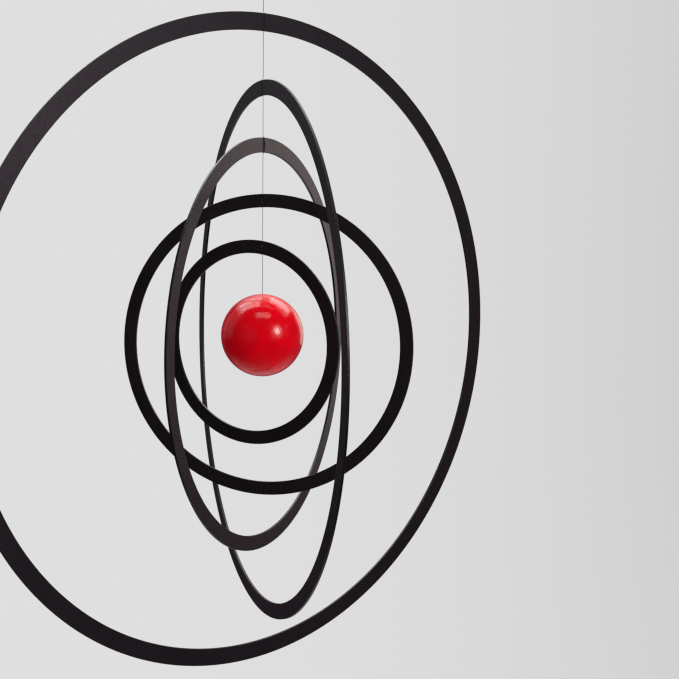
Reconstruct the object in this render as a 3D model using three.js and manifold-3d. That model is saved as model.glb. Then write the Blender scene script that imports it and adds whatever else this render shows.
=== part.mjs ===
// A hanging mobile: five flat rings, one inside the other, and a ball in the middle, all in line
// on one thread. The thread is stitched through two holes in the top of each ring's band, and each
// ring turns by itself as the thread twists.
// Millimetres, +Z up. The origin is the top of the hanging loop, and the thread hangs down the Z axis.
// The outer ring lies close to the XZ plane.
import * as THREE from 'three';
import { mergeVertices } from 'three/addons/utils/BufferGeometryUtils.js';
import Module from 'manifold-3d';

const wasm = await Module();
wasm.setup();

// Rings
const OUTER_RING_RADIUS = 200;
const INNER_RING_RADIUS = 63.1;
const BOARD_THICKNESS = 1.5;

// Ball
const BALL_DIAMETER = 50.5;
const BALL_LIFT = 4.9; // above the inner ring's middle
const THREAD_HOLE_DEPTH = 8;
const THREAD_END_DEPTH = 6; // how far the thread goes into the ball

// Thread
const THREAD_DIAMETER = 0.3;
const TOP_THREAD_LENGTH = 45;
const LOOP_HEIGHT = 14;
const LOOP_WIDTH = 6;
const LOOP_KNOT_DIAMETER = 1.4;
const THREAD_HOLE_DIAMETER = 1.1; // in the rings and in the ball
const TIE_HOLE_SPACING = 2.6; // between the middles of a ring's two holes
const TIE_REACH = 1.3; // of a ring's stitch past its band's outer and inner edge
const CLEARANCE = 0.3; // between pieces that touch

// One side of the hanging loop, from its knot up to its top, as shares of its half width and height.
const LOOP_SIDE = [
  [0.75, 0.5],
  [1, 0.75],
  [0.7, 0.95],
];

// From the outside in. band is the ring's width. step is how much smaller its radius is than that
// of the ring around it, in proportion to the other steps. turn is its angle about the thread,
// from the outer ring. tilt leans its top out of plumb, and lean turns it in its own plane about
// its tie, as rings on a thread hang. sink is how far its middle hangs below the middle of the ring
// around it.
const RINGS = [
  { name: 'outer_ring', band: 10.6, step: 0, turn: 0, tilt: 1.5, lean: 0, sink: 0, facets: 144 },
  { name: 'second_ring', band: 9.3, step: 36.6, turn: -112, tilt: 0, lean: 1.5, sink: 2.8, facets: 128 },
  { name: 'third_ring', band: 9, step: 37.5, turn: 27.4, tilt: -0.3, lean: -1.5, sink: -3.2, facets: 112 },
  { name: 'fourth_ring', band: 8.1, step: 33.9, turn: -54.8, tilt: -1.7, lean: -1.7, sink: -0.1, facets: 96 },
  { name: 'inner_ring', band: 8.2, step: 28.9, turn: -71.1, tilt: 0, lean: 8.5, sink: -1, facets: 80 },
];

// Facets
const THREAD_SIDES = 8;
const BALL_SEGMENTS = 40;
const BALL_RINGS = 20;
const TOP_THREAD_STEPS = 50;
const SHORT_THREAD_STEPS = 4;
const LOOP_STEPS = 32;
const KNOT_SEGMENTS = 8;
const KNOT_RINGS = 6;
const HOLE_SIDES = 12;
const MERGE_DISTANCE = 1e-4; // corners closer than this are one corner

const board = new THREE.MeshStandardMaterial({ color: 0x242226, roughness: 0.62, metalness: 0 });
const redPaint = new THREE.MeshStandardMaterial({ color: 0xc8000c, roughness: 0.16, metalness: 0 });
const blackThread = new THREE.MeshStandardMaterial({ color: 0x1c1a1c, roughness: 0.4, metalness: 0 });

const radians = THREE.MathUtils.degToRad;

function makeMesh(name, geometry, material) {
  const mesh = new THREE.Mesh(geometry, material);
  mesh.name = name;
  return mesh;
}

function toSolid(geometry) {
  const bare = geometry.clone();
  bare.deleteAttribute('normal');
  bare.deleteAttribute('uv');
  const merged = mergeVertices(bare, MERGE_DISTANCE);
  return new wasm.Manifold(
    new wasm.Mesh({
      numProp: 3,
      vertProperties: new Float32Array(merged.attributes.position.array),
      triVerts: new Uint32Array(merged.index.array),
    })
  );
}

function toGeometry(solid) {
  const { vertProperties, triVerts } = solid.getMesh();
  const geometry = new THREE.BufferGeometry();
  geometry.setAttribute('position', new THREE.BufferAttribute(new Float32Array(vertProperties), 3));
  geometry.setIndex(new THREE.BufferAttribute(new Uint32Array(triVerts), 1));
  geometry.computeVertexNormals();
  return geometry;
}

// The radii of the rings share out the span between the outer and the inner ring by their steps.
function ringRadii() {
  const allSteps = RINGS.reduce((sum, ring) => sum + ring.step, 0);
  const span = OUTER_RING_RADIUS - INNER_RING_RADIUS;
  let radius = OUTER_RING_RADIUS;
  return RINGS.map((ring) => {
    radius -= (span * ring.step) / allSteps;
    return radius;
  });
}

// A flat ring with square edges, lying in the XZ plane with the middle of its band's top at the origin.
// Its two holes for the thread are one above the other once the ring leans.
function ringGeometry(ring, radius) {
  const inner = radius - ring.band;
  const half = BOARD_THICKNESS / 2;
  const profile = [
    [inner, -half],
    [radius, -half],
    [radius, half],
    [inner, half],
    [inner, -half],
  ].map(([x, y]) => new THREE.Vector2(x, y));
  const geometry = new THREE.LatheGeometry(profile, ring.facets);
  geometry.translate(0, 0, -(radius - ring.band / 2));
  let solid = toSolid(geometry);
  for (const side of [-1, 1]) {
    const holeRadius = THREAD_HOLE_DIAMETER / 2;
    const hole = new THREE.CylinderGeometry(holeRadius, holeRadius, 2 * BOARD_THICKNESS, HOLE_SIDES);
    hole.translate(0, 0, (side * TIE_HOLE_SPACING) / 2);
    hole.rotateY(-radians(ring.lean));
    solid = solid.subtract(toSolid(hole));
  }
  return toGeometry(solid);
}

function knotSolid(diameter, z) {
  const knot = new THREE.SphereGeometry(diameter / 2, KNOT_SEGMENTS, KNOT_RINGS);
  knot.rotateX(Math.PI / 2);
  knot.translate(0, 0, z);
  return toSolid(knot);
}

// Half the height of a ring's stitch. Its band is longer across where the ring leans.
function tieHalf(ring) {
  return ring.band / 2 / Math.cos(radians(ring.lean)) + TIE_REACH;
}

// The outline of a flat strip of that width along a line of points.
function stripOutline(points, width) {
  const line = points.map(([x, y]) => new THREE.Vector2(x, y));
  const ways = line.slice(1).map((point, index) => point.clone().sub(line[index]).normalize());
  const sides = line.map((point, index) => {
    const before = ways[Math.max(index - 1, 0)];
    const after = ways[Math.min(index, ways.length - 1)];
    const mitre = before.clone().add(after).normalize();
    const reach = width / 2 / mitre.dot(after);
    return new THREE.Vector2(-mitre.y, mitre.x).multiplyScalar(reach);
  });
  const left = line.map((point, index) => point.clone().add(sides[index]));
  const right = line.map((point, index) => point.clone().sub(sides[index]));
  return new THREE.Shape([...left, ...right.reverse()]);
}

// A ring's stitch, as a square strip: down the front face, through the upper hole, down the back,
// through the lower hole, and down the front again. Its ends are in line with the thread, which
// passes the leaning board at an angle. The band's middle is at the origin, with the front at -Y.
function tieGeometry(ring) {
  const face = BOARD_THICKNESS / 2 + CLEARANCE + THREAD_DIAMETER / 2;
  const end = tieHalf(ring);
  const knee = end - THREAD_DIAMETER / 2;
  const edge = end - TIE_REACH + CLEARANCE + THREAD_DIAMETER / 2;
  const hole = TIE_HOLE_SPACING / 2;
  const onThread = (z) => [z * Math.tan(radians(ring.tilt)), z];
  const line = [
    onThread(end),
    onThread(knee),
    [-face, edge],
    [-face, hole],
    [face, hole],
    [face, -hole],
    [-face, -hole],
    [-face, -edge],
    onThread(-knee),
    onThread(-end),
  ];
  const outline = stripOutline(line, THREAD_DIAMETER);
  const strip = new THREE.ExtrudeGeometry(outline, { depth: THREAD_DIAMETER, bevelEnabled: false });
  strip.translate(0, 0, -THREAD_DIAMETER / 2);
  strip.applyMatrix4(new THREE.Matrix4().makeBasis(
    new THREE.Vector3(0, 1, 0),
    new THREE.Vector3(0, 0, 1),
    new THREE.Vector3(1, 0, 0)
  ));
  return strip;
}

function threadSection() {
  const section = new THREE.Shape();
  for (let side = 0; side < THREAD_SIDES; side += 1) {
    const angle = (2 * Math.PI * side) / THREAD_SIDES;
    const x = (THREAD_DIAMETER / 2) * Math.cos(angle);
    const y = (THREAD_DIAMETER / 2) * Math.sin(angle);
    if (side === 0) section.moveTo(x, y);
    else section.lineTo(x, y);
  }
  section.closePath();
  return section;
}

// A straight stretch of thread down the Z axis.
function threadGeometry(top, bottom, steps) {
  const line = new THREE.LineCurve3(new THREE.Vector3(0, 0, top), new THREE.Vector3(0, 0, bottom));
  return new THREE.ExtrudeGeometry(threadSection(), { extrudePath: line, steps, bevelEnabled: false });
}

// The hanging loop: a drop-shaped turn of thread whose top bears at the origin, closed by a knot.
function loopGeometry() {
  const side = LOOP_SIDE.map(([wide, high]) => [(wide * LOOP_WIDTH) / 2, (high - 1) * LOOP_HEIGHT]);
  const mirrored = side.map(([x, z]) => [-x, z]).reverse();
  const outline = [
    [THREAD_DIAMETER, -LOOP_HEIGHT],
    ...side,
    [0, THREAD_DIAMETER / 2],
    ...mirrored,
    [-THREAD_DIAMETER, -LOOP_HEIGHT],
  ];
  const drop = new THREE.CatmullRomCurve3(outline.map(([x, z]) => new THREE.Vector3(x, 0, z)));
  const settings = { extrudePath: drop, steps: LOOP_STEPS, bevelEnabled: false };
  const strand = new THREE.ExtrudeGeometry(threadSection(), settings);
  return toGeometry(toSolid(strand).add(knotSolid(LOOP_KNOT_DIAMETER, -LOOP_HEIGHT)));
}

// The ball, with a narrow hole for the thread down from its top. Its centre is at the origin.
function ballGeometry() {
  const radius = BALL_DIAMETER / 2;
  const hole = THREAD_HOLE_DIAMETER / 2;
  const mouth = Math.acos(hole / radius);
  const profile = [];
  for (let ring = 0; ring <= BALL_RINGS; ring += 1) {
    const angle = -Math.PI / 2 + ((mouth + Math.PI / 2) * ring) / BALL_RINGS;
    const x = ring === 0 ? 0 : radius * Math.cos(angle);
    profile.push(new THREE.Vector2(x, radius * Math.sin(angle)));
  }
  const holeBottom = radius - THREAD_HOLE_DEPTH;
  profile.push(new THREE.Vector2(hole, holeBottom));
  profile.push(new THREE.Vector2(0, holeBottom));
  const geometry = new THREE.LatheGeometry(profile, BALL_SEGMENTS);
  geometry.rotateX(Math.PI / 2);
  return geometry;
}

// How far the middle of a ring's tie is above the ring's own middle
function rise(ring, radius) {
  return (radius - ring.band / 2) * Math.cos(radians(ring.lean)) * Math.cos(radians(ring.tilt));
}

const mobile = new THREE.Group();
const radii = ringRadii();

// Hanging loop, above the thread down to the outer ring
mobile.add(makeMesh('hanging_loop', loopGeometry(), blackThread));
let threadTop = -LOOP_HEIGHT - LOOP_KNOT_DIAMETER / 2 - CLEARANCE;

// Rings, their ties and the thread above each
let middle = threadTop - TOP_THREAD_LENGTH - CLEARANCE - tieHalf(RINGS[0]) - rise(RINGS[0], radii[0]);
RINGS.forEach((ring, index) => {
  const radius = radii[index];
  middle -= ring.sink;
  const tieZ = middle + rise(ring, radius);
  const threadBottom = tieZ + tieHalf(ring) + CLEARANCE;
  const threadName = index === 0 ? 'top_thread' : `${ring.name}_thread`;
  const steps = index === 0 ? TOP_THREAD_STEPS : SHORT_THREAD_STEPS;
  mobile.add(makeMesh(threadName, threadGeometry(threadTop, threadBottom, steps), blackThread));

  const turned = new THREE.Group();
  turned.position.z = tieZ;
  turned.rotation.z = radians(ring.turn);

  const tilted = new THREE.Group();
  tilted.rotation.x = radians(ring.tilt);
  tilted.add(makeMesh(`${ring.name}_tie`, tieGeometry(ring), blackThread));
  const flat = makeMesh(ring.name, ringGeometry(ring, radius), board);
  flat.rotation.y = radians(ring.lean);
  tilted.add(flat);
  turned.add(tilted);
  mobile.add(turned);

  threadTop = tieZ - tieHalf(ring) - CLEARANCE;
});

// Ball, on the last stretch of thread
const ballZ = middle + BALL_LIFT;
const threadEnd = ballZ + BALL_DIAMETER / 2 - THREAD_END_DEPTH;
mobile.add(makeMesh('ball_thread', threadGeometry(threadTop, threadEnd, SHORT_THREAD_STEPS), blackThread));
const ball = makeMesh('red_ball', ballGeometry(), redPaint);
ball.position.z = ballZ;
mobile.add(ball);

export default mobile;
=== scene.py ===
"""A hanging mobile: five flat black rings, one inside the other, and a red lacquered ball, on one thread.

Each ring is a fine-edged board ring with its grain, its cut edge and two holes, through which the
thread is stitched. The thread is twisted from three plies, and the ball is a lacquered turned ball.
All lengths are in metres.
"""

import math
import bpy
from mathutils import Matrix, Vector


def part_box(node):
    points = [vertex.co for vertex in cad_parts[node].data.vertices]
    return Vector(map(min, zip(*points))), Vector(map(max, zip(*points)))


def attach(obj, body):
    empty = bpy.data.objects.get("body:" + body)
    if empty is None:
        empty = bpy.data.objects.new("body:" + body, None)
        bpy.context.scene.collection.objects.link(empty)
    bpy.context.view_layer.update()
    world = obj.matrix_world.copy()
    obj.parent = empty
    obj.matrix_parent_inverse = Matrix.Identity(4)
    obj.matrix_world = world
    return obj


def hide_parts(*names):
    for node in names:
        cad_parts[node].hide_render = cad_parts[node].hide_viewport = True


bl_info = {
    "name": "Ring Mobile",
    "version": (1, 0, 0),
    "blender": (4, 5, 0),
    "location": "View3D > Sidebar > Ring Mobile",
    "description": "Dresses a hanging mobile of five rings and a ball",
    "category": "Object",
}

from collections import namedtuple

import bpy
import numpy as np
from bpy.props import (
    FloatProperty,
    FloatVectorProperty,
    IntProperty,
    PointerProperty,
)
from mathutils import Matrix, Vector, noise

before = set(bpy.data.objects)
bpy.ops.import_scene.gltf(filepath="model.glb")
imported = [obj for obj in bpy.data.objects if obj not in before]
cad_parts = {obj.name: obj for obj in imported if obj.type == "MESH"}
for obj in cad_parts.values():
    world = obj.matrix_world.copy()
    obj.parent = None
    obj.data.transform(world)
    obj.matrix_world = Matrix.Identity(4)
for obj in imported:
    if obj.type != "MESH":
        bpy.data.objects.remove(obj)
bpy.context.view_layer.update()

MM = 0.001

# The rings from the outside in. Each is a body of its own, with its tie and the thread below it.
RINGS = ("outer_ring", "second_ring", "third_ring", "fourth_ring", "inner_ring")

# Each stretch of thread between two ties, or from the last tie into the ball, with the body it turns with
INNER_STRETCHES = {
    "second_ring_thread": "outer_ring",
    "third_ring_thread": "second_ring",
    "fourth_ring_thread": "third_ring",
    "inner_ring_thread": "fourth_ring",
    "ball_thread": "inner_ring",
}

THREAD_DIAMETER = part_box("ball_thread")[1].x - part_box("ball_thread")[0].x
BALL_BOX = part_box("red_ball")
BALL_RADIUS = (BALL_BOX[1].x - BALL_BOX[0].x) / 2
BALL_CENTRE = Vector((0, 0, BALL_BOX[0].z + BALL_RADIUS))

FlatRing = namedtuple("FlatRing", "centre front outer inner thickness holes hole_radius")


def node_corners(node):
    corners = np.array([v.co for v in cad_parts[node].data.vertices], float)
    return np.unique(corners.round(7), axis=0)


def measure_ring(node):
    """One of the frame's rings, from its corners: its middle, the way that its front faces, its radii
    and thickness, the middles of its upper and its lower hole, and their radius."""
    corners = node_corners(node)
    low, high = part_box(node)
    centre = np.array((low + high) / 2)
    front = np.linalg.svd(corners - centre)[2][2]
    stitch = node_corners(f"{node}_tie") - centre
    front *= np.sign((stitch @ front).mean())
    height = (corners - centre) @ front
    reach = np.linalg.norm(corners - centre - np.outer(height, front), axis=1)
    rims = corners[(reach > reach.min() + MM) & (reach < reach.max() - MM)]
    above = rims[:, 2] > rims[:, 2].mean()
    holes = [Vector(rim.mean(axis=0)) for rim in (rims[above], rims[~above])]
    around = rims[above] - rims[above].mean(axis=0)
    hole_radius = np.linalg.norm(around - np.outer(around @ front, front), axis=1).max()
    return FlatRing(
        Vector(centre), Vector(front), reach.max(), reach.min(), np.ptp(height), holes, hole_radius
    )


def board_axes(ring, up):
    """A turn whose Z comes out of a ring's front and whose Y is that way, laid into the board."""
    up = (up - ring.front * up.dot(ring.front)).normalized()
    return Matrix((up.cross(ring.front), up, ring.front)).transposed().to_4x4()


# Settings


class BoardSettings(bpy.types.PropertyGroup):
    arris: FloatProperty(
        name="Edge rounding",
        description="Radius of the sanded edges of the board",
        default=0.24 * MM,
        unit="LENGTH",
    )
    segments: IntProperty(
        name="Segments", description="Facets round each ring", default=360
    )
    face_colour: FloatVectorProperty(
        name="Face", description="Stain of the board", subtype="COLOR",
        default=(0.004, 0.003, 0.0038),
    )
    fibre_colour: FloatVectorProperty(
        name="Fibres", description="Paler fibres that show through the stain", subtype="COLOR",
        default=(0.0135, 0.0104, 0.0108),
    )
    edge_colour: FloatVectorProperty(
        name="Cut edge", description="Colour of the cut edge", subtype="COLOR",
        default=(0.0075, 0.0066, 0.007),
    )


class ThreadSettings(bpy.types.PropertyGroup):
    plies: IntProperty(name="Plies", description="Strands twisted together", default=3)
    pitch: FloatProperty(
        name="Twist", description="Length of one full twist of the plies",
        default=1.15 * MM, unit="LENGTH",
    )
    tail: FloatProperty(
        name="Tail", description="Length of the cut end at the top knot",
        default=3 * MM, unit="LENGTH",
    )
    colour: FloatVectorProperty(
        name="Thread", description="Colour of the thread", subtype="COLOR",
        default=(0.009, 0.008, 0.009),
    )


class BallSettings(bpy.types.PropertyGroup):
    hole_radius: FloatProperty(
        name="Thread hole", description="Radius of the hole for the thread",
        default=0.55 * MM, unit="LENGTH",
    )
    hole_depth: FloatProperty(
        name="Hole depth", description="Depth of the hole for the thread",
        default=8 * MM, unit="LENGTH",
    )
    lip: FloatProperty(
        name="Lip", description="Rounding of the lacquer at the hole's mouth",
        default=0.3 * MM, unit="LENGTH",
    )
    unevenness: FloatProperty(
        name="Unevenness", description="How far the turned ball is out of true",
        default=0.045 * MM, unit="LENGTH",
    )
    paint_colour: FloatVectorProperty(
        name="Lacquer", description="Red of the ball", subtype="COLOR",
        default=(0.82, 0.0, 0.007),
    )
    deep_colour: FloatVectorProperty(
        name="Thick lacquer", description="Red where the lacquer lies thicker", subtype="COLOR",
        default=(0.72, 0.0, 0.007),
    )


class StageSettings(bpy.types.PropertyGroup):
    camera_place: FloatVectorProperty(
        name="Camera", description="Where the camera stands", subtype="TRANSLATION",
        default=(-0.4924, -0.6362, -0.1789),
    )
    heading: FloatProperty(
        name="Heading", description="The camera's heading, from +Y towards +X",
        default=math.radians(41.11), subtype="ANGLE",
    )
    pitch: FloatProperty(
        name="Pitch", description="How far the camera looks up",
        default=math.radians(-5.58), subtype="ANGLE",
    )
    roll: FloatProperty(
        name="Roll", description="The camera's roll", default=math.radians(0.53), subtype="ANGLE",
    )
    lens: FloatProperty(
        name="Lens", description="Focal length in millimetres on a 36 mm sensor", default=69.83
    )
    wall_shade: FloatProperty(
        name="Wall", description="Brightness of the wall at its left", default=0.738
    )
    wall_fall: FloatProperty(
        name="Fall-off", description="How much darker the wall is at its right", default=0.109
    )
    ceiling: FloatProperty(
        name="Ceiling", description="Radiance of the ceiling and side wall, before shares", default=1.1
    )
    softbox: FloatProperty(
        name="Softboxes", description="Radiance of the softboxes, before their shares", default=4.5
    )
    window: FloatProperty(
        name="Window light", description="Radiance of the small soft light", default=14.0
    )
    fill: FloatProperty(
        name="Fill", description="Radiance of the fill lights, before their shares", default=1.2
    )


# Mesh makers


def new_mesh_object(name, points, faces, materials):
    mesh = bpy.data.meshes.new(name)
    mesh.from_pydata([tuple(p) for p in points], [], faces)
    mesh.shade_smooth()
    for material in materials:
        mesh.materials.append(material)
    piece = bpy.data.objects.new(name, mesh)
    bpy.context.scene.collection.objects.link(piece)
    return piece


def add_uv(mesh, coordinates):
    """Gives each corner of the mesh its (u, v), in metres along and across the piece."""
    layer = mesh.uv_layers.new(name="UVMap")
    layer.data.foreach_set("uv", np.asarray(coordinates, np.float32).ravel())


def arc(centre, radius, start, end, steps):
    """Points on an arc in a plane, with start and end in quarter turns."""
    angles = [math.pi / 2 * (start + (end - start) * i / steps) for i in range(steps + 1)]
    return [
        (centre[0] + radius * math.cos(a), centre[1] + radius * math.sin(a)) for a in angles
    ]


def curve_frames(points):
    """For each point of a line, its direction and two axes across it that turn as little as they can."""
    line = np.array(points, float)
    ways = np.gradient(line, axis=0)
    ways /= np.linalg.norm(ways, axis=1)[:, None]
    across = np.cross(ways[0], (0, 0, 1) if abs(ways[0][2]) < 0.9 else (1, 0, 0))
    firsts = []
    for way in ways:
        across = across - way * (across @ way)
        across /= np.linalg.norm(across)
        firsts.append(across)
    firsts = np.array(firsts)
    return line, ways, firsts, np.cross(ways, firsts)


def resample(points, step):
    """The line again, with points about step apart."""
    line = np.array(points, float)
    along = np.concatenate([[0], np.cumsum(np.linalg.norm(np.diff(line, axis=0), axis=1))])
    at = np.linspace(0, along[-1], max(3, math.ceil(along[-1] / step) + 1))
    return np.stack([np.interp(at, along, line[:, k]) for k in range(3)], axis=1), at


PLY_SIDES = 8
STEPS_IN_A_TWIST = 11
PLY_FULLNESS = 1.15  # the plies press into each other, so each is thicker than one that only touches


def twisted_thread(points, diameter, settings):
    """Points and faces of a thread of several plies twisted together along a line."""
    line, along = resample(points, settings.pitch / STEPS_IN_A_TWIST)
    line, ways, firsts, seconds = curve_frames(line)
    outer = diameter / 2
    ply = outer / (1 + 1 / math.sin(math.pi / settings.plies))
    offset = outer - ply
    ply *= PLY_FULLNESS
    corners, faces = [], []
    turn = 2 * math.pi * along / settings.pitch
    for number in range(settings.plies):
        phase = turn + 2 * math.pi * number / settings.plies
        out = firsts * np.cos(phase)[:, None] + seconds * np.sin(phase)[:, None]
        side = seconds * np.cos(phase)[:, None] - firsts * np.sin(phase)[:, None]
        middle = line + offset * out
        first_corner = len(corners)
        for i in range(len(line)):
            for k in range(PLY_SIDES):
                angle = 2 * math.pi * k / PLY_SIDES
                corners.append(middle[i] + ply * (out[i] * math.cos(angle) + side[i] * math.sin(angle)))
        faces += tube_faces(first_corner, len(line), PLY_SIDES)
    return corners, faces


def turned_corners(section, sides, x=0, y=0):
    """Corners of a shape turned on an upright axis, ring by ring, from its section as (radius, height)."""
    angles = [2 * math.pi * i / sides for i in range(sides)]
    return [
        (x + radius * math.cos(angle), y + radius * math.sin(angle), height)
        for radius, height in section
        for angle in angles
    ]


def wall_faces(start, rings, sides):
    """Faces between rings of corners, which are numbered ring by ring from start."""
    return [
        (
            start + i * sides + k,
            start + i * sides + (k + 1) % sides,
            start + (i + 1) * sides + (k + 1) % sides,
            start + (i + 1) * sides + k,
        )
        for i in range(rings - 1)
        for k in range(sides)
    ]


def tube_faces(start, rings, sides):
    """Faces of a closed tube: its wall and a cap at each end."""
    last = start + (rings - 1) * sides
    caps = [tuple(reversed(range(start, start + sides))), tuple(range(last, last + sides))]
    return wall_faces(start, rings, sides) + caps


def join_shapes(*shapes):
    """Several (points, faces) as one."""
    corners, faces = [], []
    for points, polygons in shapes:
        base = len(corners)
        corners += list(points)
        faces += [tuple(base + i for i in polygon) for polygon in polygons]
    return corners, faces


def placed(points, matrix):
    return [matrix @ Vector(p) for p in points]


def round_corners(points, times=2):
    """The line with its corners cut off, and the new ones again, with its ends where they were."""
    line = [Vector(p) for p in points]
    for _ in range(times):
        cut = [line[0]]
        for a, b in zip(line, line[1:]):
            cut += [a.lerp(b, 0.25), a.lerp(b, 0.75)]
        line = [*cut, line[-1]]
    return line


KNOT_STEPS = 60
KNOT_REACH = 3.0  # how far a trefoil of unit size reaches from its middle


def knot_line(diameter, matrix):
    """The line of a tight overhand knot that fits in that diameter, in the plane of X and Y."""
    unit = (diameter - THREAD_DIAMETER) / 2 / KNOT_REACH
    points = []
    for i in range(KNOT_STEPS + 1):
        t = 2 * math.pi * i / KNOT_STEPS
        points.append(
            (
                unit * (math.sin(t) + 2 * math.sin(2 * t)),
                unit * (math.cos(t) - 2 * math.cos(2 * t)),
                -unit * math.sin(3 * t),
            )
        )
    return placed(points, matrix)


# Rings

ARRIS_STEPS = 4
FACE_INSET = 0.08 * MM  # a narrow strip that keeps the flats flat up to the rounding


def band_profile(ring, arris):
    """The section of a ring's band as (radius, height, part): part 0 is a flat, 1 a wall and 2 an arris."""
    half = ring.thickness / 2
    corners = (
        (ring.outer - arris, half - arris, 0),
        (ring.inner + arris, half - arris, 1),
        (ring.inner + arris, -half + arris, 2),
        (ring.outer - arris, -half + arris, 3),
    )
    profile = []
    for x, y, quarter in corners:
        curve = arc((x, y), arris, quarter, quarter + 1, ARRIS_STEPS)
        flat_first = quarter % 2 == 1
        profile.append((*step_off(curve[0], quarter), 0 if flat_first else 1))
        profile += [(*p, 2) for p in curve]
        profile.append((*step_off(curve[-1], quarter - 1), 1 if flat_first else 0))
    return profile


def step_off(point, quarter):
    """A point just past an end of a rounded corner, on the straight stretch beside it."""
    x, y = ((0, -1), (1, 0), (0, 1), (-1, 0))[quarter % 4]
    return point[0] + FACE_INSET * x, point[1] + FACE_INSET * y


def make_ring(node, settings):
    ring = measure_ring(node)
    profile = band_profile(ring, settings.arris)
    sides, count = len(profile), settings.segments
    points, wear = [], []
    for i in range(count):
        angle = 2 * math.pi * i / count
        for radius, height, part in profile:
            points.append((radius * math.cos(angle), radius * math.sin(angle), height))
            wear.append(1.0 if part == 2 else 0.0)
    middle = (ring.outer + ring.inner) / 2
    across = np.concatenate(
        [[0], np.cumsum([math.dist(profile[k][:2], profile[(k + 1) % sides][:2]) for k in range(sides)])]
    )
    faces, uv, slots = [], [], []
    for i in range(count):
        here, there = i * sides, (i + 1) % count * sides
        u0, u1 = (2 * math.pi * middle * (i + k) / count for k in (0, 1))
        for k in range(sides):
            after = (k + 1) % sides
            faces.append((here + k, there + k, there + after, here + after))
            uv += [(u0, across[k]), (u1, across[k]), (u1, across[k + 1]), (u0, across[k + 1])]
            flat = profile[k][2] == 0 and profile[after][2] == 0
            slots.append(0 if flat else 1)
    materials = [bpy.data.materials["stained_board_face"], bpy.data.materials["stained_board_edge"]]
    piece = new_mesh_object(f"{node}_board", points, faces, materials)
    mesh = piece.data
    add_uv(mesh, uv)
    mesh.polygons.foreach_set("material_index", slots)
    mesh.attributes.new("arris", "FLOAT", "POINT").data.foreach_set("value", wear)
    place = Matrix.Translation(ring.centre) @ board_axes(ring, Vector((0, 0, 1)))
    drill_holes(piece, [place.inverted() @ hole for hole in ring.holes], ring)
    piece.matrix_world = place
    return piece


DRILL_SIDES = 24
CHAMFER = 0.12 * MM  # round the mouths of the holes
CREASE = math.radians(35)  # where faces meet at more than this, the edge shows


def drill_holes(piece, holes, ring):
    """Cuts the thread's holes, with a small chamfer round each mouth."""
    half = ring.thickness / 2
    wide = ring.hole_radius + 2 * CHAMFER
    profile = [
        (wide, -half - CHAMFER),
        (ring.hole_radius, -half + CHAMFER),
        (ring.hole_radius, half - CHAMFER),
        (wide, half + CHAMFER),
    ]
    points, faces = [], []
    for hole in holes:
        faces += tube_faces(len(points), len(profile), DRILL_SIDES)
        points += turned_corners(profile, DRILL_SIDES, hole.x, hole.y)
    drill = new_mesh_object("drill", points, faces, piece.data.materials)
    drill.data.polygons.foreach_set("material_index", [1] * len(faces))
    cut = piece.modifiers.new("holes", "BOOLEAN")
    cut.operation = "DIFFERENCE"
    cut.solver = "EXACT"
    cut.object = drill
    whole = piece.data
    drilled = piece.evaluated_get(bpy.context.evaluated_depsgraph_get())
    piece.data = bpy.data.meshes.new_from_object(drilled)
    piece.modifiers.clear()
    piece.data.set_sharp_from_angle(angle=CREASE)
    bpy.data.meshes.remove(whole)
    bpy.data.objects.remove(drill)


class MOBILE_OT_rings(bpy.types.Operator):
    """Makes the five board rings"""

    bl_idname = "mobile.make_rings"
    bl_label = "Rings"

    def execute(self, context):
        settings = context.scene.mobile_board
        make_board_materials(settings)
        for node in RINGS:
            piece = make_ring(node, settings)
            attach(piece, node)
            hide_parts(node)
        return {"FINISHED"}


# Thread

LOOP_KNOT_DIAMETER = 1.5 * MM
JOIN = 0.2 * MM  # how far a thread goes past its solid, to run into the next one on its body
MEET = 0.149 * MM  # the same towards the next body, which turns by itself, so the ends only meet
STRAND_SPACING = 1.1 * THREAD_DIAMETER  # between two strands side by side
STRAND_LIFT = 0.4 * THREAD_DIAMETER  # of each pass over the last one
MOUTH_SHARE = 0.8  # how high the thread is at a hole's mouth, of its height where it lies on the face
EDGE_SHARE = 0.6  # the same at an edge of the band
RETURN_SHARE = 0.9  # how far past a hole and how high a strand turns back into it, of the full way

# How often the thread goes through the holes of a ring, where it isn't twice, and how often it is
# wound round each edge of the band as well
PASSES = {"third_ring": 4, "fourth_ring": 3}
WINDINGS = {"third_ring": 2}


def stitch_line(ring, passes):
    """The thread's line through a ring's band, with X along the band, Y up it and Z out of its front.

    Each pass goes in at the upper hole, down the back, out at the lower one and up the front again,
    over the last one."""
    upper = (ring.holes[0] - ring.holes[1]).length / 2
    lower = -upper
    face = (ring.thickness + THREAD_DIAMETER) / 2
    mouth = MOUTH_SHARE * face
    rim = ring.hole_radius - THREAD_DIAMETER / 2
    past = ring.hole_radius + THREAD_DIAMETER
    line = []
    for number in range(passes):
        x = (number - (passes - 1) / 2) * min(STRAND_SPACING, 2 * rim / (passes - 1))
        over = face + STRAND_LIFT * number
        if number == 0:
            line += [(x, upper + past, face), (x, upper + rim, mouth)]
        else:
            line += [(x, 0, over), (x, upper - past, over)]
            line.append((x, upper + RETURN_SHARE * past, RETURN_SHARE * over))
        line += [(x, upper - rim, -mouth), (x, upper - past, -over)]
        line += [(x, lower + past, -over), (x, lower + rim, -mouth)]
        if number == passes - 1:
            line += [(x, lower - rim, mouth), (x, lower - past, face)]
        else:
            line += [(x, lower - RETURN_SHARE * past, RETURN_SHARE * over), (x, lower + past, over)]
    return line


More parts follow.
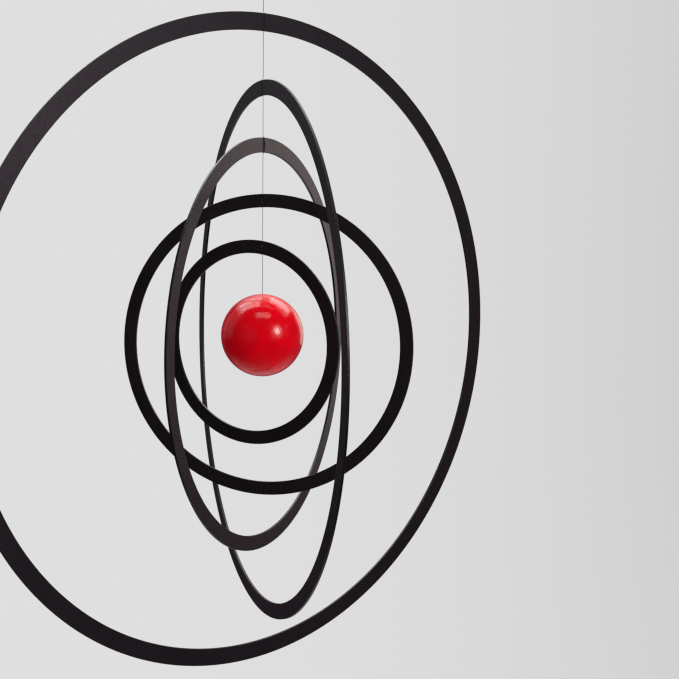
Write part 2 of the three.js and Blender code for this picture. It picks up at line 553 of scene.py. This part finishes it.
def winding_line(ring, hole, edge, times):
    """The thread's turns round an edge of a band, each over the front, through the hole and behind."""
    face = (ring.thickness + THREAD_DIAMETER) / 2
    inward = math.copysign(1, hole - edge)
    near = hole - inward * (ring.hole_radius + THREAD_DIAMETER)
    rim = hole - inward * (ring.hole_radius - THREAD_DIAMETER / 2)
    mouth = MOUTH_SHARE * face
    corner = edge + inward * THREAD_DIAMETER
    line = []
    for number in range(times):
        x = (number - (times - 1) / 2) * 2 * STRAND_SPACING
        line += [(x, corner, face), (x, near, face), (x, rim, mouth), (x, rim, -mouth)]
        line += [(x, near, -face), (x, corner, -face), (x, edge - inward * THREAD_DIAMETER / 2, 0)]
    return line


def tie_line(node):
    """The whole line of a ring's tie, from the thread above the band to the thread below it."""
    ring = measure_ring(node)
    low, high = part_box(f"{node}_tie")
    up = Vector((0, 0, 1))
    middle = (ring.holes[0] + ring.holes[1]) / 2
    axes = Matrix.Translation(middle) @ board_axes(ring, up)
    slope = (middle - ring.centre).normalized().dot(up)
    face = (ring.thickness + THREAD_DIAMETER) / 2
    to_outer = (ring.outer - (middle - ring.centre).length) / slope
    to_inner = ((middle - ring.centre).length - ring.inner) / slope
    bend = EDGE_SHARE * face
    over = [(0, to_outer + THREAD_DIAMETER, bend), (0, to_outer - THREAD_DIAMETER, face)]
    under = [(0, THREAD_DIAMETER - to_inner, face), (0, -to_inner - THREAD_DIAMETER, bend)]
    upper, windings = (ring.holes[0] - ring.holes[1]).length / 2, WINDINGS.get(node, 0)
    over += winding_line(ring, upper, to_outer, windings)
    under = [*reversed(winding_line(ring, -upper, -to_inner, windings)), *under]
    line = placed([*over, *stitch_line(ring, PASSES.get(node, 2)), *under], axes)
    above = [Vector((0, 0, high.z + MEET)), Vector((0, 0, high.z - THREAD_DIAMETER))]
    below = [Vector((0, 0, low.z + THREAD_DIAMETER)), Vector((0, 0, low.z - JOIN))]
    return round_corners([*above, *line, *below])


class MOBILE_OT_ties(bpy.types.Operator):
    """Stitches the thread through the holes in the top of each ring's band"""

    bl_idname = "mobile.make_ties"
    bl_label = "Ties"

    def execute(self, context):
        settings = context.scene.mobile_thread
        make_thread_material(settings)
        for node in RINGS:
            corners, faces = twisted_thread(tie_line(node), THREAD_DIAMETER, settings)
            material = bpy.data.materials["waxed_thread"]
            piece = new_mesh_object(f"{node}_stitch", corners, faces, [material])
            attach(piece, node)
            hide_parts(f"{node}_tie")
        return {"FINISHED"}


def make_stretch(node, name, settings):
    """A straight stretch of thread in place of one of the frame's. Returns it with its line."""
    low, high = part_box(node)
    line = [(0, 0, high.z + JOIN), (0, 0, low.z - MEET)]
    corners, faces = twisted_thread(line, THREAD_DIAMETER, settings)
    return new_mesh_object(name, corners, faces, [bpy.data.materials["waxed_thread"]]), line


class MOBILE_OT_threads(bpy.types.Operator):
    """Makes the stretches of thread between the rings and into the ball"""

    bl_idname = "mobile.make_threads"
    bl_label = "Threads between the rings"

    def execute(self, context):
        settings = context.scene.mobile_thread
        make_thread_material(settings)
        for node, body in INNER_STRETCHES.items():
            piece, _ = make_stretch(node, f"{node}_twisted", settings)
            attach(piece, body)
            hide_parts(node)
        return {"FINISHED"}


# One side of the hanging loop, from its knot up to its top, as shares of its half width and height
LOOP_SIDE = ((0.75, 0.5), (1, 0.75), (0.7, 0.95))
LOOP_STEPS = 12  # between two points of the loop's outline
TAIL_BENDS = ((0.35, 0.15, -0.1), (0.6, 0.25, -0.75))  # from the knot, as shares of the tail's length


def smooth_line(points, steps):
    """A smooth curve through all the points."""
    line = [Vector(p) for p in points]
    ends = [2 * line[0] - line[1], *line, 2 * line[-1] - line[-2]]
    smooth = []
    for a, b, c, d in zip(ends, ends[1:], ends[2:], ends[3:]):
        for i in range(steps):
            t = i / steps
            smooth.append(
                (2 * b + (c - a) * t + (2 * a - 5 * b + 4 * c - d) * t * t
                 + (3 * b - a - 3 * c + d) * t * t * t) / 2
            )
    return [*smooth, line[-1]]


def loop_line(low, high):
    """The drop-shaped line of the hanging loop between the corners of the frame's loop."""
    half_width = (high.x - low.x - THREAD_DIAMETER) / 2
    top = high.z - THREAD_DIAMETER / 2
    bottom = low.z + LOOP_KNOT_DIAMETER / 2
    side = [(wide * half_width, bottom + share * (top - bottom)) for wide, share in LOOP_SIDE]
    outline = [(THREAD_DIAMETER, bottom), *side, (0, top)]
    outline += [(-x, z) for x, z in reversed(side)] + [(-THREAD_DIAMETER, bottom)]
    return smooth_line([(x, 0, z) for x, z in outline], LOOP_STEPS)


class MOBILE_OT_hanging_thread(bpy.types.Operator):
    """Makes the thread above the rings and the loop that it hangs by"""

    bl_idname = "mobile.make_hanging_thread"
    bl_label = "Hanging thread and loop"

    def execute(self, context):
        settings = context.scene.mobile_thread
        make_thread_material(settings)
        low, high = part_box("hanging_loop")
        knot_at = Matrix.Translation((0, 0, low.z + LOOP_KNOT_DIAMETER / 2))
        upright = Matrix.Rotation(math.pi / 2, 4, "X")
        knot = knot_line(LOOP_KNOT_DIAMETER, knot_at @ upright)
        start = knot_at.translation
        tail = [start, *(start + Vector(bend) * settings.tail for bend in TAIL_BENDS)]
        corners, faces = join_shapes(
            *(
                twisted_thread(line, THREAD_DIAMETER, settings)
                for line in (loop_line(low, high), knot, smooth_line(tail, LOOP_STEPS))
            )
        )
        loop = new_mesh_object("hanging_loop_twisted", corners, faces, [bpy.data.materials["waxed_thread"]])
        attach(loop, "root")
        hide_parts("hanging_loop")

        cord, line = make_stretch("top_thread", "top_thread_twisted", settings)
        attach(cord, "root")
        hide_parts("top_thread")
        return {"FINISHED"}


# Ball

BALL_SEGMENTS = 192
BALL_RINGS = 108
LIP_STEPS = 5
SWELL_SIZE = 21 * MM  # of the broad swells left by turning and sanding


def ball_profile(settings):
    """The section of the ball from its lowest point up over its side and down into the hole."""
    mouth = settings.hole_radius + settings.lip
    top = math.acos(mouth / BALL_RADIUS)
    profile = []
    for i in range(BALL_RINGS + 1):
        angle = -math.pi / 2 + (top + math.pi / 2) * i / BALL_RINGS
        profile.append((BALL_RADIUS * math.cos(angle), BALL_RADIUS * math.sin(angle)))
    lip_centre = (mouth, profile[-1][1] - settings.lip)
    profile += arc(lip_centre, settings.lip, 1, 2, LIP_STEPS)[1:]
    profile.append((settings.hole_radius, BALL_RADIUS - settings.hole_depth))
    return profile[1:]


def make_ball(settings):
    profile = ball_profile(settings)
    corners = [(0, 0, -BALL_RADIUS), *turned_corners(profile, BALL_SEGMENTS), (0, 0, profile[-1][1])]
    points = [uneven(Vector(p), settings.unevenness) for p in corners]
    faces = wall_faces(1, len(profile), BALL_SEGMENTS)
    last = 1 + (len(profile) - 1) * BALL_SEGMENTS
    for i in range(BALL_SEGMENTS):
        after = (i + 1) % BALL_SEGMENTS
        faces.append((0, 1 + after, 1 + i))
        faces.append((last + i, last + after, len(points) - 1))
    return new_mesh_object("red_ball_lacquered", points, faces, [bpy.data.materials["red_lacquer"]])


def uneven(point, depth):
    """A point of the ball moved in or out by up to that depth in broad, soft swells."""
    if point.length < BALL_RADIUS / 2:
        return point
    swell = noise.noise(point / SWELL_SIZE)
    return point * (1 + depth * (swell - 1) / 2 / point.length)


class MOBILE_OT_ball(bpy.types.Operator):
    """Makes the lacquered ball"""

    bl_idname = "mobile.make_ball"
    bl_label = "Ball"

    def execute(self, context):
        settings = context.scene.mobile_ball
        make_ball_material(settings)
        piece = make_ball(settings)
        piece.location = BALL_CENTRE
        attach(piece, "ball")
        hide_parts("red_ball")
        return {"FINISHED"}


# Materials


def add_node(tree, kind, settings=(), inputs=()):
    """A new shader node with its settings and plain input values. An input that is a socket is linked."""
    node = tree.nodes.new(kind)
    for name, value in dict(settings).items():
        setattr(node, name, value)
    for name, value in dict(inputs).items():
        if isinstance(value, bpy.types.NodeSocket):
            tree.links.new(value, node.inputs[name])
        else:
            node.inputs[name].default_value = value
    return node


def new_group(name, inputs, outputs):
    """A shader node group with those inputs, as (name, kind, default), and outputs."""
    group = bpy.data.node_groups.new(name, "ShaderNodeTree")
    for socket, kind, default in inputs:
        made = group.interface.new_socket(socket, in_out="INPUT", socket_type=kind)
        if default is not None:
            made.default_value = default
    for socket in outputs:
        group.interface.new_socket(socket, in_out="OUTPUT", socket_type="NodeSocketFloat")
    return group, group.nodes.new("NodeGroupInput").outputs, group.nodes.new("NodeGroupOutput").inputs


def multiplied(tree, first, second):
    """The product of two values."""
    product = add_node(tree, "ShaderNodeMath", {"operation": "MULTIPLY"})
    tree.links.new(first, product.inputs[0])
    tree.links.new(second, product.inputs[1])
    return product.outputs[0]


def divided(group, place, along, across):
    """A place divided by a size along X and one across it."""
    size = add_node(group, "ShaderNodeCombineXYZ", inputs={"X": along, "Y": across, "Z": across})
    scaled = add_node(group, "ShaderNodeVectorMath", {"operation": "DIVIDE"})
    group.links.new(place, scaled.inputs[0])
    group.links.new(size.outputs[0], scaled.inputs[1])
    return scaled.outputs[0]


def smooth_share(tree, value, low, high):
    """How far a value is between low and high, from 0 to 1, with soft ends."""
    node = add_node(
        tree, "ShaderNodeMapRange", {"interpolation_type": "SMOOTHSTEP"},
        {"Value": value, "From Min": low, "From Max": high},
    )
    return node.outputs[0]


def fibre_grain_group():
    """Short fibres along X, and specks between them, as two masks from 0 to 1."""
    name = "fibre_grain"
    if name in bpy.data.node_groups:
        return bpy.data.node_groups[name]
    group, given, out = new_group(
        name,
        (
            ("Vector", "NodeSocketVector", None),
            ("Fibre Length", "NodeSocketFloat", 2 * MM),
            ("Fibre Width", "NodeSocketFloat", 0.3 * MM),
        ),
        ("Fibres", "Specks"),
    )
    scaled = divided(group, given["Vector"], given["Fibre Length"], given["Fibre Width"])
    fibres = add_node(
        group, "ShaderNodeTexNoise",
        inputs={"Vector": scaled, "Scale": 1.0, "Detail": 4.0, "Roughness": 0.62},
    )
    specks = add_node(
        group, "ShaderNodeTexNoise",
        inputs={"Vector": scaled, "Scale": 2.7, "Detail": 1.0, "Distortion": 0.4},
    )
    group.links.new(smooth_share(group, fibres.outputs["Fac"], 0.38, 0.68), out["Fibres"])
    group.links.new(smooth_share(group, specks.outputs["Fac"], 0.66, 0.78), out["Specks"])
    return group


def soft_patches_group():
    """Broad soft patches of that size, as a mask from 0 to 1."""
    name = "soft_patches"
    if name in bpy.data.node_groups:
        return bpy.data.node_groups[name]
    group, given, out = new_group(
        name,
        (("Vector", "NodeSocketVector", None), ("Size", "NodeSocketFloat", 30 * MM)),
        ("Patches",),
    )
    scaled = divided(group, given["Vector"], given["Size"], given["Size"])
    patches = add_node(
        group, "ShaderNodeTexNoise",
        inputs={"Vector": scaled, "Scale": 1.0, "Detail": 2.0, "Roughness": 0.5},
    )
    group.links.new(smooth_share(group, patches.outputs["Fac"], 0.3, 0.7), out["Patches"])
    return group


def arris_wear_group():
    """Where the rounded edges are rubbed paler, as a mask from 0 to 1."""
    name = "arris_wear"
    if name in bpy.data.node_groups:
        return bpy.data.node_groups[name]
    group, given, out = new_group(
        name,
        (
            ("Vector", "NodeSocketVector", None),
            ("Patch Size", "NodeSocketFloat", 6 * MM),
            ("Amount", "NodeSocketFloat", 0.5),
        ),
        ("Wear",),
    )
    edge = add_node(group, "ShaderNodeAttribute", {"attribute_name": "arris"})
    patches = add_node(
        group, "ShaderNodeGroup", {"node_tree": soft_patches_group()},
        {"Vector": given["Vector"], "Size": given["Patch Size"]},
    )
    broken = multiplied(group, edge.outputs["Fac"], patches.outputs[0])
    group.links.new(multiplied(group, broken, given["Amount"]), out["Wear"])
    return group


def new_material(name, **plain):
    """The nodes and the Principled shader of a new material, with its constants on their own sockets."""
    material = bpy.data.materials.new(name)
    material.use_nodes = True
    tree = material.node_tree
    shader = tree.nodes["Principled BSDF"]
    for socket, value in plain.items():
        shader.inputs[socket.replace("_", " ")].default_value = value
    return tree, shader


def mix_colours(tree, factor, first, second):
    """A mix of two colours by a mask. Each is a plain colour or a socket."""
    mixed = add_node(tree, "ShaderNodeMix", {"data_type": "RGBA"})
    tree.links.new(factor, mixed.inputs["Factor"])
    for slot, colour in ((6, first), (7, second)):
        if isinstance(colour, bpy.types.NodeSocket):
            tree.links.new(colour, mixed.inputs[slot])
        else:
            mixed.inputs[slot].default_value = (*colour, 1)
    return mixed.outputs[2]


def ranged(tree, value, low, high):
    """A mask from 0 to 1 spread over that range."""
    node = add_node(tree, "ShaderNodeMapRange", inputs={"Value": value, "To Min": low, "To Max": high})
    return node.outputs[0]


def add_bump(tree, shader, height, depth, strength):
    bump = add_node(
        tree, "ShaderNodeBump", inputs={"Height": height, "Distance": depth, "Strength": strength}
    )
    tree.links.new(bump.outputs[0], shader.inputs["Normal"])
    return bump


ARRIS_ROUGHNESS = 0.25  # more than the cut edge's own, where it is sanded round


def make_board_materials(settings):
    """The stained face of the board and its cut edge."""
    if "stained_board_face" in bpy.data.materials:
        return
    tree, shader = new_material(
        "stained_board_face", Specular_IOR_Level=0.5, Specular_Tint=(1.0, 0.82, 0.95, 1.0)
    )
    place = add_node(tree, "ShaderNodeTexCoord").outputs["Object"]
    grain = add_node(
        tree, "ShaderNodeGroup", {"node_tree": fibre_grain_group()},
        {"Vector": place, "Fibre Length": 1.9 * MM, "Fibre Width": 0.42 * MM},
    )
    patches = add_node(
        tree, "ShaderNodeGroup", {"node_tree": soft_patches_group()},
        {"Vector": place, "Size": 34 * MM},
    )
    wear = add_node(
        tree, "ShaderNodeGroup", {"node_tree": arris_wear_group()},
        {"Vector": place, "Patch Size": 5 * MM, "Amount": 0.6},
    )
    shown = multiplied(tree, grain.outputs["Fibres"], ranged(tree, patches.outputs[0], 0.35, 1.0))
    stain = mix_colours(tree, shown, settings.face_colour, settings.fibre_colour)
    speckled = mix_colours(tree, grain.outputs["Specks"], stain, settings.edge_colour)
    worn = mix_colours(tree, wear.outputs[0], speckled, settings.fibre_colour)
    tree.links.new(worn, shader.inputs["Base Color"])
    tree.links.new(ranged(tree, grain.outputs["Fibres"], 0.47, 0.38), shader.inputs["Roughness"])
    add_bump(tree, shader, grain.outputs["Fibres"], 0.012 * MM, 0.5)

    tree, shader = new_material("stained_board_edge", Specular_IOR_Level=0.5)
    place = add_node(tree, "ShaderNodeUVMap", {"uv_map": "UVMap"}).outputs[0]
    turned = add_node(tree, "ShaderNodeMapping", inputs={"Vector": place})
    turned.inputs["Rotation"].default_value = (0, 0, math.pi / 2)
    strokes = add_node(
        tree, "ShaderNodeGroup", {"node_tree": fibre_grain_group()},
        {"Vector": turned.outputs[0], "Fibre Length": 4 * MM, "Fibre Width": 0.3 * MM},
    )
    wear = add_node(
        tree, "ShaderNodeGroup", {"node_tree": arris_wear_group()},
        {"Vector": place, "Patch Size": 4 * MM, "Amount": 0.7},
    )
    edge = mix_colours(tree, strokes.outputs["Fibres"], settings.face_colour, settings.edge_colour)
    worn = mix_colours(tree, wear.outputs[0], edge, settings.fibre_colour)
    tree.links.new(worn, shader.inputs["Base Color"])
    sanded = add_node(tree, "ShaderNodeMath", {"operation": "MULTIPLY_ADD"})
    arris = add_node(tree, "ShaderNodeAttribute", {"attribute_name": "arris"})
    tree.links.new(arris.outputs["Fac"], sanded.inputs[0])
    sanded.inputs[1].default_value = ARRIS_ROUGHNESS
    tree.links.new(ranged(tree, strokes.outputs["Fibres"], 0.26, 0.36), sanded.inputs[2])
    tree.links.new(sanded.outputs[0], shader.inputs["Roughness"])
    add_bump(tree, shader, strokes.outputs["Fibres"], 0.02 * MM, 0.4)


def make_thread_material(settings):
    """Black thread with a little wax on it."""
    if "waxed_thread" in bpy.data.materials:
        return
    tree, shader = new_material("waxed_thread", Specular_IOR_Level=0.12)
    place = add_node(tree, "ShaderNodeTexCoord").outputs["Object"]
    fluff = add_node(
        tree, "ShaderNodeGroup", {"node_tree": fibre_grain_group()},
        {"Vector": place, "Fibre Length": 0.05 * MM, "Fibre Width": 0.05 * MM},
    )
    waxed = add_node(
        tree, "ShaderNodeGroup", {"node_tree": soft_patches_group()},
        {"Vector": place, "Size": 1.5 * MM},
    )
    paler = tuple(3 * channel for channel in settings.colour)
    colour = mix_colours(tree, fluff.outputs["Fibres"], settings.colour, paler)
    tree.links.new(colour, shader.inputs["Base Color"])
    tree.links.new(ranged(tree, waxed.outputs[0], 0.4, 0.65), shader.inputs["Roughness"])
    add_bump(tree, shader, fluff.outputs["Fibres"], 0.01 * MM, 0.5)


def make_ball_material(settings):
    """Red lacquer, brushed on and flowed out, over a turned ball."""
    if "red_lacquer" in bpy.data.materials:
        return
    tree, shader = new_material("red_lacquer", Specular_IOR_Level=0.5, IOR=1.47)
    place = add_node(tree, "ShaderNodeTexCoord").outputs["Object"]
    patches = add_node(
        tree, "ShaderNodeGroup", {"node_tree": soft_patches_group()},
        {"Vector": place, "Size": 9 * MM},
    )
    colour = mix_colours(tree, patches.outputs[0], settings.paint_colour, settings.deep_colour)
    tree.links.new(colour, shader.inputs["Base Color"])
    tree.links.new(ranged(tree, patches.outputs[0], 0.11, 0.15), shader.inputs["Roughness"])
    waves = add_node(
        tree, "ShaderNodeGroup", {"node_tree": soft_patches_group()},
        {"Vector": place, "Size": 5 * MM},
    )
    peel = add_node(
        tree, "ShaderNodeGroup", {"node_tree": soft_patches_group()},
        {"Vector": place, "Size": 1.5 * MM},
    )
    broad = add_bump(tree, shader, waves.outputs[0], 0.045 * MM, 1.0)
    fine = add_bump(tree, shader, peel.outputs[0], 0.028 * MM, 1.0)
    tree.links.new(broad.outputs[0], fine.inputs["Normal"])


# Stage

BOWL_RADIUS = 4.0
BOWL_FLOOR = -1.9
BOWL_TOP = 3.5
BOWL_CURVE = 1.4  # radius of the curve from the floor up to the wall
BOWL_SEGMENTS = 96
BOWL_STEPS = 16

# A soft light: its place from the ball in metres to the camera's right, ahead and up, its width and
# depth, the setting that gives its radiance, its share of it, whether glossy surfaces show it, and its
# colour
SoftLight = namedtuple(
    "SoftLight", "place size setting share glossy colour", defaults=(True, (1.0, 1.0, 1.0))
)
SOFT_LIGHTS = {
    "ceiling_light": SoftLight((0.1, 1.25, 1.3), (3.2, 2.4), "ceiling", 1.0),
    "left_softbox": SoftLight((-0.6, 0.6, 1.2), (1.0, 1.1), "softbox", 0.7),
    "right_softbox": SoftLight((0.8, 1.05, 1.2), (1.2, 1.0), "softbox", 0.75),
    "reflector": SoftLight((0.08, -0.62, 1.2), (0.85, 0.4), "softbox", 0.6),
    "side_wall": SoftLight((-1.4, 0.55, 0.65), (1.2, 1.3), "ceiling", 0.14),
    "side_wall_glow": SoftLight((-1.45, 0.57, 0.67), (1.8, 2.0), "ceiling", 0.12),
    "back_softbox": SoftLight((0.88, 1.34, 0.12), (0.72, 0.9), "softbox", 0.29, colour=(1.0, 0.88, 0.85)),
    "left_fill": SoftLight((-0.9, -1.2, 0.2), (1.2, 1.2), "fill", 0.8, False),
    "right_fill": SoftLight((1.1, -1.1, 0.4), (1.3, 1.3), "fill", 1.6, False),
    "floor_bounce": SoftLight((0, 0, -1.1), (1.6, 1.6), "fill", 0.75, False),
}

WINDOW_DISTANCE = 1.5
WINDOW_TURN = math.radians(47)  # to the right of the camera, from the ball
WINDOW_RISE = math.radians(15)
# The window light is brightest in its middle: the width of each disc and its share of the light
WINDOW_DISCS = ((0.28, 1.3), (0.6, 0.2), (0.95, 0.05))
DISC_GAP = 0.005

# How the wall dims from left to right, as places to the right of the ball in metres
WALL_LEFT = -0.68
WALL_RIGHT = 1.25


def heading_vector(angle):
    """A level direction at that heading, from +Y towards +X."""
    return Vector((math.sin(angle), math.cos(angle), 0))


def make_camera(settings):
    data = bpy.data.cameras.new("camera")
    data.lens = settings.lens
    camera = bpy.data.objects.new("camera", data)
    bpy.context.scene.collection.objects.link(camera)
    turn = Matrix.Rotation(-settings.heading, 4, "Z")
    look = Matrix.Rotation(math.pi / 2 + settings.pitch, 4, "X")
    roll = Matrix.Rotation(settings.roll, 4, "Z")
    camera.matrix_world = Matrix.Translation(settings.camera_place) @ turn @ look @ roll
    bpy.context.scene.camera = camera


def make_area_light(name, place, size, radiance, shape):
    """A soft light that faces the ball, unseen by the camera, with its width and depth and its radiance."""
    data = bpy.data.lights.new(name, "AREA")
    data.shape = shape
    data.size, data.size_y = size
    area = size[0] * size[1] * (math.pi / 4 if shape == "DISK" else 1)
    data.energy = radiance * math.pi * area
    light = bpy.data.objects.new(name, data)
    bpy.context.scene.collection.objects.link(light)
    light.location = place
    light.rotation_mode = "QUATERNION"
    light.rotation_quaternion = (BALL_CENTRE - place).to_track_quat("-Z", "Y")
    light.visible_camera = False
    return light


def measured_along(tree, place, way):
    """How far a place or direction reaches along a way."""
    along = add_node(tree, "ShaderNodeVectorMath", {"operation": "DOT_PRODUCT"})
    tree.links.new(place, along.inputs[0])
    along.inputs[1].default_value = way
    return along.outputs["Value"]


def make_backdrop(settings):
    """A pale floor that curves up into a wall all round. It glows by itself, only the camera sees it, and
    painted shade darkens it from left to right.
    """
    corner = (BOWL_RADIUS - BOWL_CURVE, BOWL_FLOOR + BOWL_CURVE)
    profile = [*arc(corner, BOWL_CURVE, 3, 4, BOWL_STEPS), (BOWL_RADIUS, BOWL_TOP)]
    points = [(0, 0, BOWL_FLOOR), *turned_corners(profile, BOWL_SEGMENTS)]
    faces = wall_faces(1, len(profile), BOWL_SEGMENTS)
    faces += [(0, 1 + i, 1 + (i + 1) % BOWL_SEGMENTS) for i in range(BOWL_SEGMENTS)]
    material = bpy.data.materials.new("pale_backdrop")
    material.use_nodes = True
    tree = material.node_tree
    tree.nodes.clear()
    place = add_node(tree, "ShaderNodeTexCoord").outputs["Object"]
    along = measured_along(tree, place, heading_vector(settings.heading + math.pi / 2))
    share = add_node(
        tree, "ShaderNodeMapRange",
        inputs={"Value": along, "From Min": WALL_LEFT, "From Max": WALL_RIGHT},
    )
    # painted shade: the glow of the wall falls off towards the right, in place of light that dims there
    fall = multiplied(tree, share.outputs[0], share.outputs[0])
    shade = ranged(tree, fall, settings.wall_shade, settings.wall_shade - settings.wall_fall)
    glow = add_node(tree, "ShaderNodeEmission", inputs={"Strength": shade})
    output = add_node(tree, "ShaderNodeOutputMaterial")
    tree.links.new(glow.outputs[0], output.inputs["Surface"])
    backdrop = new_mesh_object("backdrop", points, faces, [material])
    backdrop.visible_glossy = backdrop.visible_diffuse = backdrop.visible_shadow = False


# The room, by directions from the ball. Each pair of numbers says where a part of it begins to show
# and where it shows fully: a spread by cosines of the angle from its middle, and the wall's top, the
# horizon and the table's depth by sines of the angle above the level.
WALL_HEADING = math.radians(57)  # the middle of the bright wall, from +Y towards +X
WALL_SPREAD = (math.cos(math.radians(44)), math.cos(math.radians(26)))
WALL_TOP = (0.25, 0.5)
HORIZON = (0.12, -0.22)
WALL_COLOUR = (0.58, 0.5, 0.47)
WALL_TOP_COLOUR = (0.5, 0.46, 0.46)
ROOM_COLOUR = (0.046, 0.045, 0.056)
FLOOR_COLOUR = (0.035, 0.026, 0.04)
FAR_FLOOR_HEADING = math.radians(80)  # the floor is paler that way
FAR_FLOOR_SPREAD = (-0.2, 0.6)
FAR_FLOOR_COLOUR = (0.11, 0.075, 0.1)
TABLE_COLOUR = (0.6, 0.6, 0.62)
TABLE_SPREAD = (0.52, 1.0)
TABLE_DEPTH = (-0.4, -0.7)
SOFTNESS = 1.3  # width of the pixel filter, in pixels, as soft as the photo


def facing_share(tree, way, middle, low, high):
    """How nearly a direction is that of the middle, from 0 to 1 between two cosines."""
    return smooth_share(tree, measured_along(tree, way, middle), low, high)


def make_room_light(settings):
    """The light that the room gives all round: a bright wall behind, dim sides, a dark floor near the
    camera and a pale one below the wall."""
    world = bpy.data.worlds.new("room")
    world.use_nodes = True
    tree = world.node_tree
    tree.nodes.clear()
    way = add_node(tree, "ShaderNodeTexCoord").outputs["Generated"]
    height = add_node(tree, "ShaderNodeSeparateXYZ", inputs={"Vector": way}).outputs["Z"]
    wall = facing_share(tree, way, heading_vector(WALL_HEADING), *WALL_SPREAD)
    wall_colour = mix_colours(tree, smooth_share(tree, height, *WALL_TOP), WALL_COLOUR, WALL_TOP_COLOUR)
    sides = mix_colours(tree, wall, ROOM_COLOUR, wall_colour)
    far = facing_share(tree, way, heading_vector(FAR_FLOOR_HEADING), *FAR_FLOOR_SPREAD)
    floor = mix_colours(tree, far, FLOOR_COLOUR, FAR_FLOOR_COLOUR)
    colour = mix_colours(tree, smooth_share(tree, height, *HORIZON), sides, floor)
    below_wall = (heading_vector(settings.heading) - Vector((0, 0, 1))).normalized()
    near = facing_share(tree, way, below_wall, *TABLE_SPREAD)
    table = multiplied(tree, near, smooth_share(tree, height, *TABLE_DEPTH))
    colour = mix_colours(tree, table, colour, TABLE_COLOUR)
    background = add_node(tree, "ShaderNodeBackground", inputs={"Color": colour})
    output = add_node(tree, "ShaderNodeOutputWorld")
    tree.links.new(background.outputs[0], output.inputs["Surface"])
    bpy.context.scene.world = world


def make_soft_lights(settings):
    ahead = heading_vector(settings.heading)
    right = heading_vector(settings.heading + math.pi / 2)
    for name, soft in SOFT_LIGHTS.items():
        along, onward, above = soft.place
        place = BALL_CENTRE + right * along + ahead * onward + Vector((0, 0, above))
        radiance = getattr(settings, soft.setting) * soft.share
        light = make_area_light(name, place, soft.size, radiance, "RECTANGLE")
        light.data.color = soft.colour
        light.visible_glossy = soft.glossy
        if above > 1:  # one overhead lies level, square to the camera
            light.rotation_quaternion = Matrix.Rotation(-settings.heading, 3, "Z").to_quaternion()


def make_window_light(settings):
    toward = heading_vector(settings.heading + math.pi - WINDOW_TURN)
    way = toward * math.cos(WINDOW_RISE) + Vector((0, 0, math.sin(WINDOW_RISE)))
    for number, (size, share) in enumerate(WINDOW_DISCS):
        place = BALL_CENTRE + way * (WINDOW_DISTANCE + number * DISC_GAP)
        radiance = settings.window * share
        make_area_light(f"window_light_{number}", place, (size, size), radiance, "DISK")


class MOBILE_OT_stage(bpy.types.Operator):
    """Sets up the camera, the pale backdrop and the soft lights"""

    bl_idname = "mobile.make_stage"
    bl_label = "Stage"

    def execute(self, context):
        settings = context.scene.mobile_stage
        make_camera(settings)
        make_backdrop(settings)
        make_room_light(settings)
        make_soft_lights(settings)
        make_window_light(settings)
        context.scene.cycles.filter_width = SOFTNESS
        context.scene.view_settings.view_transform = "Standard"
        return {"FINISHED"}


# Panel and registration

STEPS = (
    MOBILE_OT_stage,
    MOBILE_OT_hanging_thread,
    MOBILE_OT_rings,
    MOBILE_OT_ties,
    MOBILE_OT_threads,
    MOBILE_OT_ball,
)

SETTINGS = {
    "mobile_board": BoardSettings,
    "mobile_thread": ThreadSettings,
    "mobile_ball": BallSettings,
    "mobile_stage": StageSettings,
}


class MOBILE_PT_panel(bpy.types.Panel):
    bl_label = "Ring Mobile"
    bl_space_type = "VIEW_3D"
    bl_region_type = "UI"
    bl_category = "Ring Mobile"

    def draw(self, context):
        for step in STEPS:
            self.layout.operator(step.bl_idname)
        for group in SETTINGS:
            box = self.layout.box()
            values = getattr(context.scene, group)
            for name in SETTINGS[group].__annotations__:
                box.prop(values, name)


def register():
    for kind in (*SETTINGS.values(), *STEPS, MOBILE_PT_panel):
        bpy.utils.register_class(kind)
    for name, kind in SETTINGS.items():
        setattr(bpy.types.Scene, name, PointerProperty(type=kind))


def unregister():
    for name in SETTINGS:
        delattr(bpy.types.Scene, name)
    for kind in (MOBILE_PT_panel, *STEPS, *SETTINGS.values()):
        bpy.utils.unregister_class(kind)


def main():
    register()
    bpy.ops.mobile.make_stage()
    bpy.ops.mobile.make_hanging_thread()
    bpy.ops.mobile.make_rings()
    bpy.ops.mobile.make_ties()
    bpy.ops.mobile.make_threads()
    bpy.ops.mobile.make_ball()


if __name__ == "__main__":
    main()
